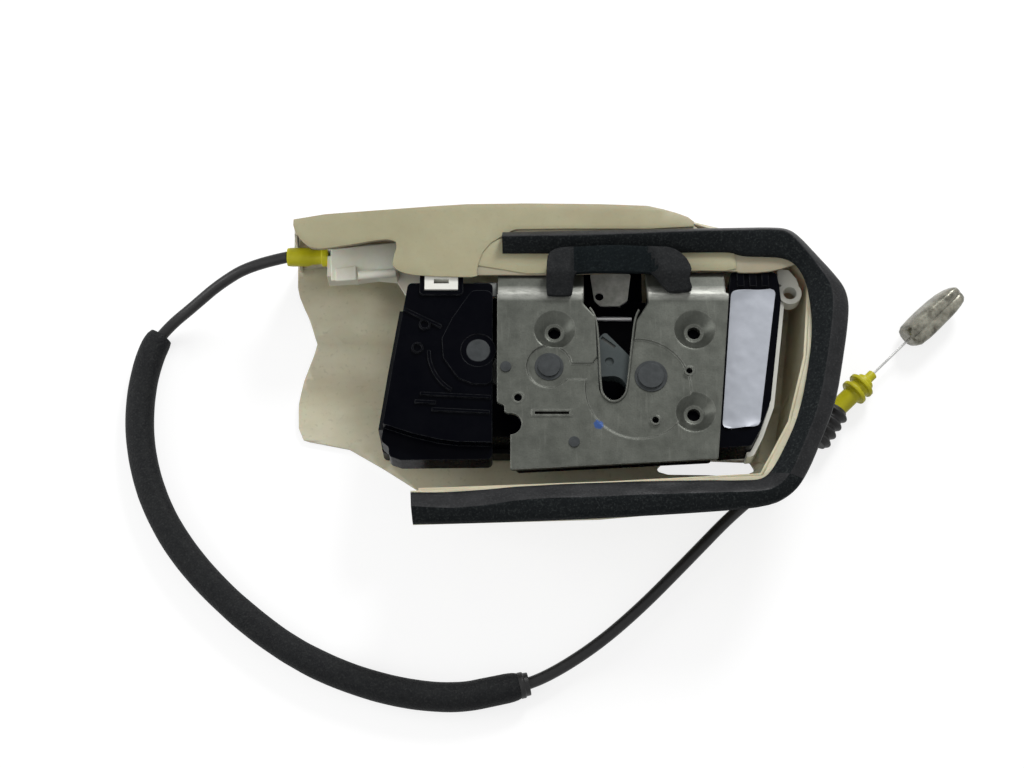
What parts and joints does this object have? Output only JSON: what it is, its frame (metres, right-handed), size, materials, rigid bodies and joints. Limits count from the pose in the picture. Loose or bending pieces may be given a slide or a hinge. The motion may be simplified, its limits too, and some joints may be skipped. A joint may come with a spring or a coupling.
{
  "type": "door latch actuator",
  "caption": "Side door latch with fork catch, plastic actuator housing, thermoformed shield with foam rim seal, and release cable with sleeve and end clip.",
  "frame": {"origin": "centre of the seated striker on the outer face of the faceplate", "axes": "+Z out of the faceplate, +Y towards the mouth of the striker slot, +X towards the label side"},
  "size_m": [0.3391, 0.1927, 0.0528],
  "materials": {
    "zinc_steel": "dull zinc plate",
    "tool_steel": "dark machined steel",
    "bright_steel": "bright plate",
    "jacket_plastic": "dark grey green, fine grain",
    "black_plastic": "moulded, slightly glossy",
    "white_plastic": "moulded",
    "gear_plastic": "natural acetal",
    "copper_strip": "bare strip",
    "bumper_rubber": "matte",
    "sticker": "blank, slightly wrinkled",
    "shield_sheet": "cream, translucent, hazy",
    "foam": "closed-cell foam, matte with a skin",
    "conduit_skin": "smooth black",
    "sleeve_foam": "foam sleeve",
    "yellow_plastic": "bright yellow",
    "natural_plastic": "translucent natural",
    "wire_steel": "stranded wire",
    "tin": "folded tinned sheet"
  },
  "bodies": {
    "base": {"faceplate": "zinc_steel", "plate_rivets": "zinc_steel", "catch_spring": "wire_steel", "pawl_spring": "wire_steel", "latch_body": "black_plastic", "slot_bumper": "bumper_rubber", "catch_bumper": "bumper_rubber", "back_plate": "zinc_steel", "lever_pin": "tool_steel", "inside_lever_pin": "tool_steel", "gear_pin": "tool_steel", "motor": "bright_steel", "front_case": "black_plastic", "rear_cover": "white_plastic", "case_screws": "bright_steel", "harness_plug": "white_plastic", "plug_blades": "copper_strip", "ajar_switch": "black_plastic", "lead_frame": "copper_strip", "striker_tongue": "bright_steel", "guide_bar": "bright_steel", "label": "sticker", "shield_tub": "shield_sheet", "shield_flap": "shield_sheet", "rim_seal": "foam", "mouth_seal": "foam", "cable_conduit": "conduit_skin", "foam_sleeve": "sleeve_foam", "sleeve_band": "bumper_rubber", "latch_end_fitting": "yellow_plastic", "cable_tray": "natural_plastic", "handle_end_fitting": "yellow_plastic", "bellows_boot": "bumper_rubber", "catch_pin": "tool_steel", "pawl_pin": "tool_steel"},
    "catch": {"catch_core": "tool_steel", "catch_jacket": "jacket_plastic"},
    "pawl": {"pawl": "tool_steel", "pawl_stud": "tool_steel"},
    "release_lever": {"release_lever": "zinc_steel"},
    "inside_lever": {"inside_lever": "zinc_steel"},
    "latch_wire": {"latch_wire": "wire_steel"},
    "release_gear": {"release_gear": "gear_plastic"},
    "motor_pinion": {"motor_pinion": "gear_plastic"},
    "inner_wire": {"cable_wire": "wire_steel", "wire_end_clip": "tin"}
  },
  "joints": [
    {"name": "catch_turn", "type": "hinge", "parent": "base", "child": "catch", "pos_m": [0.0145, 0.0041, 0], "axis": [0, 0, -1], "range_deg": [0, 65]},
    {"name": "pawl_turn", "type": "hinge", "parent": "base", "child": "pawl", "pos_m": [-0.0243, 0.008, 0], "axis": [0, 0, -1], "range_deg": [0, 20.8]},
    {"name": "release_lever_turn", "type": "hinge", "parent": "base", "child": "release_lever", "pos_m": [-0.0515, 0.0157, 0], "axis": [0, 0, -1], "range_deg": [0, 7.9]},
    {"name": "inside_lever_turn", "type": "hinge", "parent": "base", "child": "inside_lever", "pos_m": [-0.068, 0.0354, 0], "axis": [0, 0, 1], "range_deg": [0, 17.2]},
    {"name": "latch_wire_slide", "type": "slide", "parent": "base", "child": "latch_wire", "axis": [-1, 0, 0], "range_m": [0, 0.008]},
    {"name": "release_gear_turn", "type": "hinge", "parent": "base", "child": "release_gear", "pos_m": [-0.067, 0.026, 0], "axis": [0, 0, 1], "range_deg": [0, 80]},
    {"name": "motor_pinion_turn", "type": "hinge", "parent": "base", "child": "motor_pinion", "pos_m": [-0.06961, 0.01123, 0], "axis": [0, 0, -1], "range_deg": [0, 240]},
    {"name": "inner_wire_pull", "type": "slide", "parent": "base", "child": "inner_wire", "axis": [0.7193, 0.6947, 0], "range_m": [0, 0.008]}
  ],
  "couplings": [
    {"joint": "pawl_turn", "follows": "catch_turn", "ratio": 0.32},
    {"joint": "release_lever_turn", "follows": "catch_turn", "ratio": 0.12154},
    {"joint": "inside_lever_turn", "follows": "catch_turn", "ratio": 0.26461},
    {"joint": "latch_wire_slide", "follows": "catch_turn", "m_per_rad": 0.0070518},
    {"joint": "release_gear_turn", "follows": "catch_turn", "ratio": 1.2308},
    {"joint": "motor_pinion_turn", "follows": "catch_turn", "ratio": 3.6923},
    {"joint": "inner_wire_pull", "follows": "catch_turn", "m_per_rad": 0.0070518}
  ]
}
